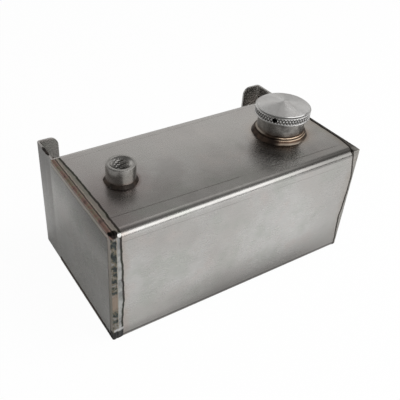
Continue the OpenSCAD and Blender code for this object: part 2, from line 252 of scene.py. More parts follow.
def base_tone(s, zone, cloud, grain):
    """Cloudy grey with greenish and pinkish patches, smoke stains and rolling grain."""
    patch = s.noise(38, 4, 0.6, shift=3.1)
    smoke = s.span(s.noise(24, 3, 0.55, shift=7.7), 0.46, 0.66)
    s.colour = s.mix(s.span(cloud, 0.35, 0.65), (0.56, 0.545, 0.525), (0.63, 0.625, 0.61))
    s.tint((0.50, 0.52, 0.48), s.span(patch, 0.5, 0.68), 0.55)
    s.tint((0.64, 0.585, 0.56), s.span(patch, 0.48, 0.3), 0.5)
    s.tint((0.37, 0.345, 0.335), smoke, s.plus(0.14, s.times(zone.on_top, 0.26)))
    s.tint((0.35, 0.34, 0.33), s.span(grain, 0.35, 0.7), 0.12)


def heat_tints(s, zone):
    """Purple and brown along the end welds, brown rings around the neck and the return port."""
    s.tint(PURPLE, s.span(zone.from_left, 40 * MM, 10 * MM), zone.on_top, 0.40)
    off_top = s.flip(zone.on_top)
    s.tint((0.50, 0.42, 0.37), s.span(zone.from_left, 17 * MM, 9 * MM), off_top, zone.on_wrap, 0.5)
    s.tint((0.46, 0.40, 0.33), s.span(zone.from_right, 15 * MM, 3 * MM), zone.on_wrap, 0.5)
    s.tint(BROWN, s.span(zone.from_right, 7 * MM, 1 * MM), zone.on_wrap, 0.5)
    neck_r = s.plus(s.radius(neck_mid), s.times(zone.wander, 0.45))
    bung_r = s.plus(s.radius(bung_mid), s.times(zone.wander, 0.4))
    for radius, far, near, share, shade in (
            (neck_r, 40, 25, 0.35, (0.58, 0.49, 0.40)), (neck_r, 30, 25, 0.55, (0.40, 0.28, 0.20)),
            (bung_r, 34, 14, 0.35, (0.40, 0.32, 0.32)), (bung_r, 17.5, 14, 0.6, (0.24, 0.17, 0.15))):
        s.tint(shade, s.span(radius, far * MM, near * MM), zone.on_top, share)


def tool_marks(s, zone):
    """Broken lines that the press brake left beside the folds: two on the top and a fainter one in front."""
    broken = s.span(s.noise(26, 2, 0.5, stretch=(1, 0.2, 0.2), shift=5.0), 0.36, 0.5)
    slope = s.times(zone.in_left, -0.021)
    near = s.band(s.minus(zone.depth, slope), 19.6 * MM, 0.75 * MM)
    rear = s.times(s.band(s.plus(zone.depth, s.times(slope, 0.9)), 108 * MM, 0.6 * MM), 0.8)
    low = s.band(s.plus(s.z, s.times(zone.in_left, 0.016)), 106.5 * MM, 0.5 * MM)
    above = s.times(s.math("MAXIMUM", near, rear), zone.on_top, broken)
    in_front = s.times(low, s.span(zone.depth, 3 * MM, 1 * MM), broken, 0.5)
    return s.math("MAXIMUM", above, in_front)


def tail_heat(s, zone):
    """Heat band where the end plates run on behind the back panel, scorched at the top, and the flanges."""
    middle = s.plus(3.0 * MM, s.times(s.minus(s.z, TOP), -0.012))
    heat = s.span(s.math("ABSOLUTE", s.minus(zone.along_tail, middle)), 7.5 * MM, 3.5 * MM)
    scorch = s.times(s.span(s.z, TOP - 26 * MM, TOP - 3 * MM), s.span(zone.along_tail, -2 * MM, 3 * MM))
    on_plate = s.times(s.flip(zone.on_wrap), s.span(s.y, REAR - 4 * MM, REAR - 8 * MM))
    s.tint((0.12, 0.105, 0.095), heat, on_plate, 0.7)
    s.tint((0.12, 0.11, 0.105), scorch, on_plate, 0.7)
    s.tint((0.24, 0.24, 0.235), s.span(s.y, REAR - 4 * MM, REAR - 1 * MM), 0.4)


def painted_face_shading(s, zone):
    """Painted shade and painted light: soft gradients that darken or lighten parts of the faces."""
    low_shade, dark, pale = (0.20, 0.192, 0.183), (0.12, 0.115, 0.11), (0.80, 0.80, 0.785)
    # front: painted shade low down, by the floor, and towards the top edge
    towards_right = s.plus(0.12, s.times(s.span(zone.from_left, 15 * MM, 120 * MM), 0.68))
    s.tint(low_shade, s.span(s.z, 44 * MM, 2 * MM), towards_right, zone.on_front)
    s.tint(low_shade, s.span(s.z, 15 * MM, 5 * MM), zone.on_front, 0.45)
    upwards = s.plus(0.09, s.times(s.span(s.z, 60 * MM, TOP), 0.10))
    s.tint((0.10, 0.098, 0.094), zone.on_front, upwards)
    # upper fold: painted shade over its highlight towards the right end
    on_bend = s.times(s.span(s.z, TOP - BEND, TOP - 0.8 * BEND), s.span(zone.depth, 1.3 * BEND, 0.9 * BEND))
    s.tint((0.12, 0.118, 0.112), on_bend, s.span(zone.in_right, 125 * MM, 15 * MM), 0.8)
    # top: painted shade in front, painted light behind
    s.tint((0.20, 0.19, 0.182), s.span(zone.depth, 48 * MM, 14 * MM), zone.on_top, 0.35)
    s.tint((0.80, 0.78, 0.76), s.span(zone.depth, 40 * MM, 95 * MM), zone.on_top, 0.6)
    # front: painted shade towards the right end, and a thin painted shade line above the bottom edge
    s.tint((0.36, 0.35, 0.335), s.span(zone.from_right, 70 * MM, 4 * MM), zone.on_front, 0.6)
    s.tint((0.10, 0.095, 0.09), s.band(s.z, 3.4 * MM, 1.3 * MM), zone.on_front, 0.85)
    # left face: painted shade above and towards the tail, painted light below
    s.tint((0.14, 0.138, 0.130), s.span(s.z, 70 * MM, TOP), zone.on_left, 0.85)
    s.tint(dark, s.span(zone.along_tail, -36 * MM, -14 * MM), zone.on_left, 0.16)
    s.tint(dark, s.span(s.y, BACK + 6 * MM, BACK + 12 * MM), zone.on_left, 0.75)
    s.tint(pale, s.span(s.z, 90 * MM, 5 * MM), zone.on_left, 0.75)


def sheet_steel():
    """Satin cold-rolled sheet with tool marks, heat tints by the welds, a slightly wavy face, and painted
    shade and painted light over its faces.
    """
    s = Shader("sheet_steel")
    zone = sheet_zones(s)
    cloud = s.noise(14, 3, 0.55)
    grain = s.noise(900, 3, 0.6, stretch=(0.12, 1, 1))
    marks = tool_marks(s, zone)
    base_tone(s, zone, cloud, grain)
    heat_tints(s, zone)
    s.tint((0.14, 0.13, 0.12), marks, 0.6)
    tail_heat(s, zone)
    # painted shade and painted light, in gradients over the faces
    painted_face_shading(s, zone)
    rough = s.plus(s.plus(0.27, s.centred(cloud, 0.14)), s.centred(grain, 0.10))
    rough = s.plus(rough, s.times(marks, 0.2))
    wave = s.bump(s.noise(22, 2, 0.45, shift=9.0), 0.5 * MM, 0.28)
    return s.finish(rough, s.bump(grain, 0.006 * MM, 0.5, wave))


def bead_crown(s, hue, on_top):
    """Copper tints on top; blue-black scales down the front, brown in a faded stretch."""
    blot = s.noise(260, 2, 0.6, shift=3.0)
    copper = s.ramp(s.span(s.plus(hue, s.centred(blot, 0.35)), 0.34, 0.66), [
        (0.0, (0.27, 0.235, 0.18)), (0.25, (0.35, 0.30, 0.225)), (0.5, (0.33, 0.215, 0.18)),
        (0.75, (0.38, 0.25, 0.215)), (1.0, (0.22, 0.155, 0.14))])
    blue = s.ramp(s.span(blot, 0.34, 0.66), [
        (0.0, (0.040, 0.046, 0.046)), (0.3, (0.075, 0.090, 0.086)), (0.5, (0.15, 0.14, 0.10)),
        (0.75, (0.20, 0.17, 0.13)), (1.0, (0.28, 0.28, 0.27))])
    faded = s.times(s.span(s.z, 33 * MM, 39 * MM), s.span(s.z, 56 * MM, 50 * MM))
    return s.mix(on_top, s.mix(faded, blue, (0.31, 0.25, 0.20)), copper)


def weld_bead():
    """Left end and rear beads. corner_mm, toe_mm and rim_mm are distances across the bead: from the
    tank's edge, from the bead's edge on the folded sheet and from its edge on the end plate."""
    s = Shader("weld_bead")
    jitter = s.centred(s.noise(330, 2, 0.5), 1.1)
    corner, toe = s.plus(s.attribute("corner_mm"), jitter), s.plus(s.attribute("toe_mm"), jitter)
    rim = s.plus(s.attribute("rim_mm"), s.times(jitter, 0.6))
    hue = s.noise(85, 3, 0.65, stretch=(0.5, 1, 1))
    small = s.noise(700, 3, 0.6, shift=2.0)
    on_top = s.span(s.z, TOP - 4 * MM, TOP - 2 * MM)
    down = s.flip(on_top)

    strip = s.mix(s.span(hue, 0.42, 0.62), (0.36, 0.345, 0.30), (0.40, 0.36, 0.325))
    crown_end = s.plus(2.9, s.times(down, 1.5))
    on_crown = s.times(s.span(corner, -2.2, -1.5), s.span(s.minus(corner, crown_end), 0.35, -0.35),
                       s.plus(on_top, s.times(down, s.span(corner, -0.6, 0.2))))
    s.colour = s.mix(on_crown, strip, bead_crown(s, hue, on_top))
    # painted shade in the grooves between the bead's passes
    painted_groove_shade = s.math("MAXIMUM", s.band(corner, 3.3, 0.75), s.times(s.band(corner, -1.4, 0.9), 0.7))
    s.tint((0.06, 0.04, 0.035), painted_groove_shade, on_top, 0.8)
    # painted highlight along the crest's outer ridge
    s.tint((0.72, 0.62, 0.54), s.band(corner, 4.4, 0.6), on_top, 0.8)
    pale = s.mix(s.span(hue, 0.42, 0.6), (0.50, 0.51, 0.505), (0.27, 0.285, 0.285))
    s.tint(pale, s.span(corner, 4.7, 5.5), down, 0.85)
    # pale pink strip on the bead's rounded upper side: a pink heat tint with a painted highlight
    s.tint((0.60, 0.51, 0.475), s.span(rim, 1.6, 2.2), s.span(rim, 4.6, 3.9), on_top, 0.9)
    # painted shade in the groove on the bead's upper side
    s.tint((0.10, 0.075, 0.065), s.band(rim, 4.9, 0.7), on_top, 0.6)
    s.tint((0.07, 0.055, 0.045), s.span(rim, 1.7, 1.2), 0.92)
    green = s.mix(s.span(hue, 0.45, 0.6), (0.03, 0.034, 0.022), (0.04, 0.033, 0.03))
    s.tint(green, s.span(toe, 2.7, 1.7), 0.96)

    # dark foot with a painted highlight bar above it, and the spots on the upper corner: dark pits and a
    # painted glint
    level = s.plus(s.z, s.times(jitter, 0.8 * MM))
    in_front = s.span(s.y, FRONT + 30 * MM, FRONT + 12 * MM)
    s.tint((0.035, 0.036, 0.038), s.span(level, 10.5 * MM, 9 * MM), in_front, 0.9)
    painted_highlight_bar = s.times(s.band(level, 11.6 * MM, 2.2 * MM), s.span(corner, 0.3, 1.0))
    s.tint((0.62, 0.62, 0.62), painted_highlight_bar, 0.9)
    for offset, reach, shade in CORNER_SPOTS:
        away = s.distance(Vector((LEFT, FRONT, TOP)) + Vector(offset) * MM)
        away = s.plus(away, s.times(jitter, 1.6 * MM))
        s.tint(shade, s.span(away, reach * MM, reach * 0.65 * MM), 0.97)
    s.tint((0.10, 0.08, 0.07), s.span(small, 0.55, 0.75), 0.35)
    return s.finish(s.plus(0.30, s.times(small, 0.2)), s.bump(small, 0.04 * MM, 0.4))


def right_bead():
    """Right end bead: a thick sooty toe, a narrow pale strip at the edge, dark all over on top."""
    s = Shader("right_bead")
    small = s.noise(600, 3, 0.6)
    hue = s.noise(120, 3, 0.6, shift=1.0)
    toe = s.plus(s.attribute("toe_mm"), s.centred(s.noise(300, 2, 0.5), 0.9))
    on_top = s.times(s.span(s.z, TOP - 2.5 * MM, TOP - 1 * MM), s.span(s.y, FRONT + 4 * MM, FRONT + 8 * MM))
    s.colour = s.mix(s.span(hue, 0.35, 0.65), (0.30, 0.29, 0.27), (0.42, 0.40, 0.375))
    s.tint((0.20, 0.17, 0.14), s.span(hue, 0.55, 0.62), 0.6)
    s.tint((0.12, 0.11, 0.10), on_top, 0.85)
    s.tint((0.045, 0.04, 0.035), s.span(toe, 2.0, 1.2), 0.92)
    s.tint((0.10, 0.08, 0.07), s.span(small, 0.55, 0.75), 0.3)
    s.tint((0.07, 0.06, 0.05), s.span(s.attribute("rim_mm"), 1.4, 0.6), 0.8)
    return s.finish(s.plus(0.3, s.times(small, 0.2)), s.bump(small, 0.04 * MM, 0.4))


def sooty_bead(name, glint=0.0):
    """Bead with an oxide skin, nearly black, with a few paler scales. glint raises their share, partly paler
    scales and partly a painted glint.
    """
    s = Shader(name)
    small = s.noise(500, 3, 0.6)
    hue = s.noise(90, 2, 0.5, shift=2.5)
    s.colour = s.mix(s.span(hue, 0.45, 0.75), (0.035, 0.03, 0.027), (0.10, 0.075, 0.06))
    # paler scales, and with glint a painted glint
    s.tint((0.30, 0.29, 0.28), s.span(small, 0.6, 0.75), 0.35 + glint)
    return s.finish(s.plus(0.32, s.times(small, 0.25)), s.bump(small, 0.05 * MM, 0.5))


def neck_bead():
    """Two-pass bead around the filler neck, brown-black all round; in front only a painted lit side with a
    pale toe and painted highlights on the two bronze ridges.
    across goes from 0 at the neck to 1 at the toe, and turn from 0 to 1 around the neck."""
    s = Shader("neck_bead")
    turn = s.attribute("turn")
    small = s.noise(420, 3, 0.6)
    hue = s.noise(120, 2, 0.5, shift=4.0)
    across = s.plus(s.attribute("across"), s.centred(s.noise(230, 2, 0.5), 0.05))
    dark = s.mix(s.span(hue, 0.35, 0.65), (0.032, 0.024, 0.020), (0.085, 0.060, 0.045))
    warm = s.mix(s.span(hue, 0.3, 0.7), (0.085, 0.052, 0.038), (0.15, 0.10, 0.07))
    toe = s.mix(s.span(hue, 0.3, 0.7), (0.27, 0.235, 0.195), (0.21, 0.17, 0.135))
    # the two ridge lines get painted highlights
    ridges = s.math("MAXIMUM", s.band(across, 0.20, 0.075), s.band(across, 0.46, 0.075))
    painted_lit_front = s.mix(s.times(ridges, 0.95), s.mix(s.span(across, 0.66, 0.86), warm, toe), (0.86, 0.68, 0.51))
    s.colour = dark
    # painted light: the lit colours only on the front part of the turn
    s.tint(painted_lit_front, s.span(turn, 0.60, 0.66), s.span(turn, 0.90, 0.82), 0.96)
    on_side = s.times(s.span(turn, 0.56, 0.50), s.span(turn, 0.34, 0.40))
    s.tint((0.55, 0.49, 0.42), on_side, s.span(across, 0.30, 0.1), 0.7)
    return s.finish(s.plus(0.26, s.times(small, 0.2)), s.bump(small, 0.05 * MM, 0.5))


def turned_steel(name, colour_a, colour_b, axis="Z", tint=None, mouth=None):
    """Turned stainless: fine rings around the axis and faint stains. tint is a heat tint: the heights that
    it fades between, its shade and its share. mouth is the axis and the top of a port whose mouth and
    thread are paler."""
    s = Shader(name)
    rings = s.noise(2600, 3, 0.65, stretch=(0.05, 0.05, 1) if axis == "Z" else (1, 0.05, 0.05))
    stain = s.noise(110, 4, 0.6)
    s.colour = s.mix(s.span(stain, 0.35, 0.65), colour_a, colour_b)
    s.tint((0.28, 0.27, 0.26), s.span(rings, 0.3, 0.7), 0.22)
    if tint:
        start, end, shade, amount = tint
        height = s.plus(s.z, s.centred(stain, 3 * MM))
        s.tint(shade, s.span(height, end, start), amount)
    if mouth:
        centre, top = mouth
        s.tint((0.50, 0.49, 0.47), s.span(s.z, top - 0.5 * MM, top - 0.1 * MM))
        s.tint((0.62, 0.61, 0.59), s.span(s.radius(centre), 9.5 * MM, 9.1 * MM), 0.9)
    rough = s.plus(s.plus(0.24, s.centred(rings, 0.16)), s.centred(stain, 0.1))
    return s.finish(rough, s.bump(rings, 0.012 * MM, 0.7))


def cap_metal(name, dull, clean, metallic, rough):
    """Turned aluminium with facing marks around the axis. Gives the shader, the roughness and the normal."""
    s = Shader(name, metallic)
    rings = s.math("SINE", s.times(s.radius(cap_mid), TAU / FACING_PITCH))
    wander = s.noise(300, 3, 0.6)
    s.colour = s.mix(s.span(s.noise(60, 3, 0.6, shift=6.0), 0.3, 0.7), dull, clean)
    s.tint((0.5, 0.49, 0.48), s.span(wander, 0.5, 0.75), 0.2)
    normal = s.bump(s.plus(s.times(rings, 0.3), wander), 0.008 * MM, 0.5)
    return s, s.plus(rough, s.centred(wander, 0.14)), normal


def cap_side():
    """Side of the cap, with painted shade in the knurl's grooves."""
    s, rough, normal = cap_metal("cap_side", (0.66, 0.655, 0.645), (0.76, 0.76, 0.755), 1.0, 0.24)
    # painted shade in the knurl's grooves
    s.tint((0.04, 0.038, 0.036), s.attribute("groove"), 0.85)
    return s.finish(rough, normal)


def cap_top():
    """Top of the cap, with the fan of light that turning marks give."""
    s, rough, normal = cap_metal("cap_top", (0.80, 0.79, 0.78), (0.88, 0.88, 0.875), 0.92, 0.42)
    s.surface.inputs["Anisotropic"].default_value = 0.9
    s.surface.inputs["Anisotropic Rotation"].default_value = 0.25
    tangent = s.node("ShaderNodeTangent", direction_type="RADIAL", axis="Z")
    s.put(tangent.outputs[0], s.surface.inputs["Tangent"])
    return s.finish(rough, normal)


def rubber():
    """Black rubber of the cap's gasket."""
    s = Shader("seal_rubber", metallic=0.0)
    grain = s.noise(900, 3, 0.6)
    s.colour = s.mix(grain, (0.012, 0.012, 0.012), (0.03, 0.03, 0.028))
    return s.finish(s.plus(0.5, s.times(grain, 0.25)), s.bump(grain, 0.03 * MM, 0.5))


def woven_wire():
    """Woven stainless wire on the strainer and the breather."""
    s = Shader("wire_mesh")
    along = s.math("SINE", s.times(s.x, TAU / WIRE_PITCH))
    up = s.math("SINE", s.times(s.plus(s.z, s.y), TAU / WIRE_PITCH))
    weave = s.times(along, up)
    s.colour = s.mix(s.span(weave, -0.5, 0.5), (0.12, 0.12, 0.115), (0.55, 0.545, 0.53))
    return s.finish(s.plus(0.32, s.times(s.noise(300), 0.15)), s.bump(weave, 0.12 * MM, 0.8))


def perforated():
    """Bright perforated sheet of the filler basket and the strainer's core."""
    s = Shader("basket_sheet")
    grain = s.noise(1500, 3, 0.6, stretch=(1, 1, 0.1))
    stain = s.noise(130, 3, 0.55)
    s.colour = s.mix(s.span(stain, 0.35, 0.7), (0.56, 0.555, 0.54), (0.46, 0.455, 0.44))
    return s.finish(s.plus(0.22, s.times(grain, 0.2)), s.bump(grain, 0.015 * MM, 0.6))


# ---- meshes
def grid_mesh(name, points, loop_u=False, values=None):
    """Quads over points[u][v], closed in v. With loop_u it closes in u too, and else it gets flat ends.
    values holds the point attributes, by name."""
    nu, nv = points.shape[:2]
    index = np.arange(nu * nv).reshape(nu, nv).tolist()
    faces = []
    for i in range(nu if loop_u else nu - 1):
        a, b = index[i], index[(i + 1) % nu]
        for k in range(nv):
            m = (k + 1) % nv
            faces.append((a[k], b[k], b[m], a[m]))
    if not loop_u:
        faces += [index[0], index[-1][::-1]]
    mesh = bpy.data.meshes.new(name)
    mesh.from_pydata([tuple(p) for p in points.reshape(-1, 3)], [], faces)
    for key, value in (values or {}).items():
        add_attribute(mesh, key, value)
    return mesh


def add_attribute(mesh, name, values):
    """One number per point of a mesh."""
    flat = np.ascontiguousarray(values, np.float32).ravel()
    mesh.attributes.new(name, "FLOAT", "POINT").data.foreach_set("value", flat)


def tidy_mesh(mesh, sharp=32, weld=1e-6):
    """Merges doubled points, makes the normals point out and marks the sharp edges."""
    work = bmesh.new()
    work.from_mesh(mesh)
    bmesh.ops.remove_doubles(work, verts=work.verts, dist=weld)
    bmesh.ops.recalc_face_normals(work, faces=work.faces)
    work.to_mesh(mesh)
    work.free()
    mesh.polygons.foreach_set("use_smooth", np.ones(len(mesh.polygons), bool))
    mesh.set_sharp_from_angle(angle=math.radians(sharp))
    return mesh


def add_piece(name, mesh, materials, body, node):
    """Piece that rides on a body, in place of a CAD node where one is named."""
    piece = link(name, mesh)
    for material in materials:
        mesh.materials.append(material)
    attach(piece, body)
    if node:
        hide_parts(node)


def add_bead(name, mesh, material, node):
    add_piece(name, tidy_mesh(mesh, 40), [material], "tank", node)


def smooth_noise(length, pitch, seed):
    """Smooth random curve over whole steps, from -1 to 1."""
    count = int(length / pitch) + 4
    values = np.random.default_rng(seed).uniform(-1, 1, count)

    def at(s):
        t = np.asarray(s, float) / pitch
        i = np.clip(np.floor(t).astype(int), 0, count - 2)
        f = np.clip(t - i, 0, 1)
        f = f * f * (3 - 2 * f)
        return values[i] * (1 - f) + values[i + 1] * f
    return at


def spread(rows, count):
    """The columns of a list of tuples, each repeated over count stations."""
    return [column[None, :] * np.ones((count, 1)) for column in np.array(rows, float).T]


def lathe(outline, segments, centre, move, axis="Z"):
    """Turns a closed (radius, height) outline in millimetres. move(angle, r, z) gives the final radius."""
    r, z = spread(outline, segments)
    t = (np.arange(segments) / segments * TAU)[:, None] * np.ones_like(r)
    r = move(t, r, z)
    return place(np.stack([r * np.cos(t), r * np.sin(t), z], -1), centre, axis)


def place(points, centre, axis):
    """Moves points from millimetres about the Z axis to metres about an axis through centre."""
    if axis == "X":
        points = points[..., [2, 1, 0]] * np.array([1, 1, -1])
    return points * MM + np.array(centre)


def triangle_wave(x):
    """0 at whole numbers, 1 half way between them."""
    return 1 - np.abs(2 * (x - np.floor(x)) - 1)


# ---- beads around the tank's ends
# the bead's section, in millimetres
SIDE = [  # down the end plate: share of the depth, how far it stands out, share of the ripples
    (1.0, 0.0, 0), (0.94, 0.26, 0), (0.84, 0.42, 0.2), (0.70, 0.52, 0.5), (0.56, 0.52, 0.7),
    (0.42, 0.42, 0.5), (0.30, 0.22, 0.2), (0.20, 0.20, 0.2), (0.10, 0.42, 0.7), (0.02, 0.36, 1)]
CREST = [  # from the corner over the folded sheet: distance in, height, share of the ripples
    (0.1, 0.22, 1), (0.5, 0.44, 1), (1.1, 0.56, 1), (1.8, 0.56, 1), (2.4, 0.44, 1), (2.9, 0.22, 0.5),
    (3.3, 0.10, 0), (3.7, 0.24, 0.3), (4.1, 0.50, 0.6), (4.5, 0.58, 0.6), (5.0, 0.46, 0.5)]
TOE = [  # from there out to the bead's edge: share of the way, height, share of the ripples
    (0.15, 0.44, 0.4), (0.35, 0.45, 0.4), (0.55, 0.38, 0.3), (0.70, 0.26, 0.2), (0.82, 0.14, 0.1),
    (0.92, 0.06, 0), (1.0, -0.04, 0)]
RIPPLE, RIPPLE_DEPTH = 1.7, 0.17  # of the end beads, in millimetres
STEP = 0.45  # between sections
DEPTH, HEIGHT = (BACK - FRONT) / MM, TOP / MM


def end_path():
    """Stations from the bottom's rear edge round the front to the top's rear edge, in millimetres:
    y and z from the lower front corner, and the way out from the sheet."""
    r, low_r = BEND / MM, LOW_BEND / MM
    path = []

    def line(p, q, normal):
        n = max(1, int(math.hypot(q[0] - p[0], q[1] - p[1]) / STEP))
        for i in range(n):
            path.append((p[0] + (q[0] - p[0]) * i / n, p[1] + (q[1] - p[1]) * i / n, *normal))

    def arc(radius, cz, start, end):
        n = max(6, int(radius * abs(end - start) / STEP))
        for i in range(n):
            a = start + (end - start) * i / n
            path.append((radius * (1 + math.cos(a)), cz + radius * math.sin(a), math.cos(a), math.sin(a)))

    line((DEPTH - r, 0), (low_r, 0), (0, -1))
    arc(low_r, low_r, -math.pi / 2, -math.pi)
    line((0, low_r), (0, HEIGHT - r), (-1, 0))
    arc(r, HEIGHT - r, math.pi, math.pi / 2)
    line((r, HEIGHT), (DEPTH - r, HEIGHT), (0, 1))
    path.append((DEPTH - r, HEIGHT, 0, 1))
    return np.array(path)


def end_bead(name, side, toe, face, seed, scale=1.0, build=0.0):
    """Bead around one end, -1 or 1. toe(y, z) is its width on the folded sheet and face(y, z) on the end
    plate. scale shrinks the crest. build is the share of the upper front corner that weld metal fills.
    In a section, a runs inwards from the tank's end and b outwards from the sheet."""
    y, z, ny, nz = end_path().T
    s = np.concatenate([[0], np.cumsum(np.hypot(np.diff(y), np.diff(z)))])

    def wobble(pitch, number, share):
        return (smooth_noise(s[-1], pitch, seed + number)(s) * share)[:, None]

    width = toe(y, z)[:, None] + wobble(7, 0, 0.30) + wobble(2.6, 1, 0.16)
    deep = face(y, z)[:, None] + wobble(9, 2, 0.25)
    lump = np.clip(1 + wobble(4, 3, 0.15), 0.8, 1.0)
    side_b, side_a, side_r = np.array(SIDE).T
    crest_a, crest_b, crest_r = np.array(CREST).T
    toe_a, toe_b, toe_r = np.array(TOE).T
    crest_w = np.minimum(crest_a[-1] * scale, width - 1.2)
    a = np.concatenate([-side_a * lump, crest_a / crest_a[-1] * crest_w,
                        crest_w + toe_a * (width - crest_w)], 1)
    b = np.concatenate([-side_b * deep, crest_b * lump * min(1, scale + 0.2), toe_b * lump], 1)

    # each ripple is a bowed dent that deepens until the next one starts
    column = np.arange(a.shape[1])
    on_side = column < len(SIDE)
    phase = s[:, None] / RIPPLE + np.abs(column - 12) / 20 + wobble(11, 4, 0.5)
    press = np.concatenate([side_r, crest_r, toe_r]) * RIPPLE_DEPTH * (phase - np.floor(phase)) ** 2
    a += np.where(on_side, press, 0)
    b -= np.where(on_side, 0, press)
    corner = np.where(on_side, b, a)
    marks = {"corner_mm": corner, "toe_mm": width - corner, "rim_mm": deep + corner}

    # weld metal that fills up the rounded upper corner, most of it at the tank's very end
    room = BEND / MM * (1 / np.maximum(np.abs(ny), np.abs(nz)) - 1) * ((nz > 0) & (y < BEND / MM))
    near = np.clip(1.3 - np.maximum(a, 0) / width, 0, 1) * np.clip(1 + b / 1.5, 0, 1)
    b = b + build * room[:, None] * near

    # three points inside the sheet close the section
    sunk, inset = np.full_like(width, 0.5), np.full_like(width, 0.4)
    a = np.concatenate([a, width - sunk, inset, inset], 1)
    b = np.concatenate([b, -sunk, -sunk, inset - deep], 1)
    marks = {key: np.concatenate([value, value[:, -1:], value[:, -1:], value[:, :1]], 1)
             for key, value in marks.items()}
    yy = np.maximum(y[:, None] + ny[:, None] * b, np.where(b < 0, -b, -9))  # mitred inside the tight bend
    zz = np.maximum(z[:, None] + nz[:, None] * b, np.maximum(-b, 0.0))  # ground flush underneath
    xx = (LEFT / MM + a) if side < 0 else (RIGHT / MM - a)
    points = np.stack([xx * MM, FRONT + yy * MM, zz * MM], -1)
    return grid_mesh(name, points, values=marks)


def rear_fillet(name, side, seed):
    """Rippled fillet in the corner between the back panel and an end plate's tail."""
    z = np.arange(1.0, HEIGHT - BEND / MM * 0.4, STEP)
    leg = 3.6 + smooth_noise(200, 8, seed)(z) * 0.3  # its width on both sheets
    turn = np.linspace(0, math.pi / 2, 9)
    phase = z[:, None] / RIPPLE + 0.4 * np.cos(2 * turn)[None, :]
    press = 0.16 * (phase - np.floor(phase)) ** 2
    bulge = 0.78 + 0.05 * np.sin(2 * turn)[None, :] - press / leg[:, None]
    out = leg[:, None] * (1 - bulge * np.sin(turn)[None, :] ** 0.9)
    back = leg[:, None] * (1 - bulge * np.cos(turn)[None, :] ** 0.9)
    root = np.full((len(z), 1), -0.4)  # closes the section inside the sheets
    out, back = np.concatenate([out, root], 1), np.concatenate([back, root], 1)
    inner = (LEFT + SHEET) / MM if side < 0 else (RIGHT - SHEET) / MM
    x = inner + (out if side < 0 else -out)
    y = BACK / MM + back
    points = np.stack([x, y, z[:, None] * np.ones_like(x)], -1) * MM
    reach = np.concatenate([np.linspace(-3, 6, 9), [2.0]])[None, :] * np.ones_like(x)
    marks = {"corner_mm": reach, "toe_mm": 6.2 - reach, "rim_mm": 3.2 + reach}
    return grid_mesh(name, points, values=marks)


def ring_bead(name, centre, inner, profile, ripple, seed, wave=0.2, axis="Z"):
    """Rippled bead around a round piece. profile lists (out, up, share across) in millimetres."""
    segments = 420
    t = np.arange(segments) / segments * TAU
    seam = smooth_noise(TAU, TAU / 24, seed)(t) * np.sin(t / 2)
    out, up, across = spread(profile, segments)
    out = out * (1 + wave * seam[:, None])
    up = up * (1 + 0.4 * wave * seam[:, None])
    count = round(TAU * (inner + 2) / ripple)
    phase = (t / TAU * count)[:, None] + 1.2 * np.abs(across - 0.5)
    r = inner + out - 0.14 * (phase - np.floor(phase)) ** 2 * np.sin(np.pi * np.clip(across, 0, 1))
    points = place(np.stack([r * np.cos(t)[:, None], r * np.sin(t)[:, None], up], -1), centre, axis)
    turn = (t / TAU)[:, None] * np.ones_like(out)
    return grid_mesh(name, points, loop_u=True, values={"across": across, "turn": turn})


def tack_mesh(name, centre, radii, seed):
    """Lumpy closed bead, stretched along the three axes."""
    around, along = 28, 40
    turn = np.arange(around) / around * TAU
    rise = np.linspace(0.04, math.pi - 0.04, along)
    lump = 1 + 0.12 * smooth_noise(math.pi, 0.22, seed)(rise)
    x = radii[0] * np.outer(np.sin(rise) * lump, np.cos(turn))
    z = radii[2] * np.outer(np.sin(rise) * lump, np.sin(turn))
    y = radii[1] * np.outer(np.cos(rise), np.ones(around))
    return grid_mesh(name, np.stack([x, y, z], -1) * MM + np.array(centre))


# ---- ports, neck and cap, in millimetres
CAP_THREAD = 3.0  # pitch
CAP_CONE_H, CAP_HEAD_H, CAP_RIM_W = 3.8, 8.9, 2.3
SPIGOT_R, CHAMBER_R, CAP_ROOF = 17.0, 12.0, 3.0
KNURL_H, KNURL_UP, KNURL_ROUNDS = 5.3, 1.3, 56
VENT_R, VENT_UP, VENT_ANGLE = 2.35, 4.45, math.radians(-146.5)
NECK_BORE, NECK_THROAT, NECK_LEDGE = 17.5, 15.6, 4.0
# profiles of the round beads: distance out, height, share across
RETURN_PROFILE = [
    (-0.3, 3.0, 0), (0.35, 2.7, 0.1), (0.8, 2.1, 0.3), (1.15, 1.45, 0.5), (1.5, 0.8, 0.7), (1.8, 0.2, 0.9),
    (1.95, -0.05, 1), (1.4, -0.4, 1), (-0.3, -0.4, 0)]
SUCTION_PROFILE = [
    (-0.3, 3.0, 0), (0.4, 2.7, 0.1), (1.0, 2.1, 0.3), (1.5, 1.45, 0.5), (1.9, 0.8, 0.7), (2.2, 0.2, 0.9),
    (2.35, -0.05, 1), (1.6, -0.4, 1), (-0.3, -0.4, 0)]
NECK_PROFILE = [
    (-0.3, 6.6, 0.0), (0.35, 6.3, 0.06), (0.95, 5.75, 0.13), (1.35, 5.25, 0.20), (1.45, 4.7, 0.27),
    (1.5, 4.25, 0.33), (2.1, 4.1, 0.40), (2.65, 3.75, 0.46), (3.0, 3.1, 0.54), (3.25, 2.4, 0.62),
    (3.6, 1.7, 0.72), (3.95, 1.0, 0.82), (4.3, 0.4, 0.92), (4.5, -0.05, 1.0), (3.9, -0.4, 1.0),
    (-0.3, -0.4, 0.0)]


def port_outline(r, low, high, socket, bore, mouth):
    """Half section of a port: socket is the radius and height of its wider inner end, and mouth the two
    radii of its chamfer's edge and the chamfer's depth."""
    socket_r, socket_h = socket
    outer, inner, chamfer = mouth
    return [(socket_r, low), (r, low), (r, high - 0.6), (r - 0.15, high - 0.18), (r - 0.55, high),
            (outer, high), (inner, high - 0.08), (bore, high - chamfer), (bore, low + socket_h),
            (socket_r, low + socket_h)]


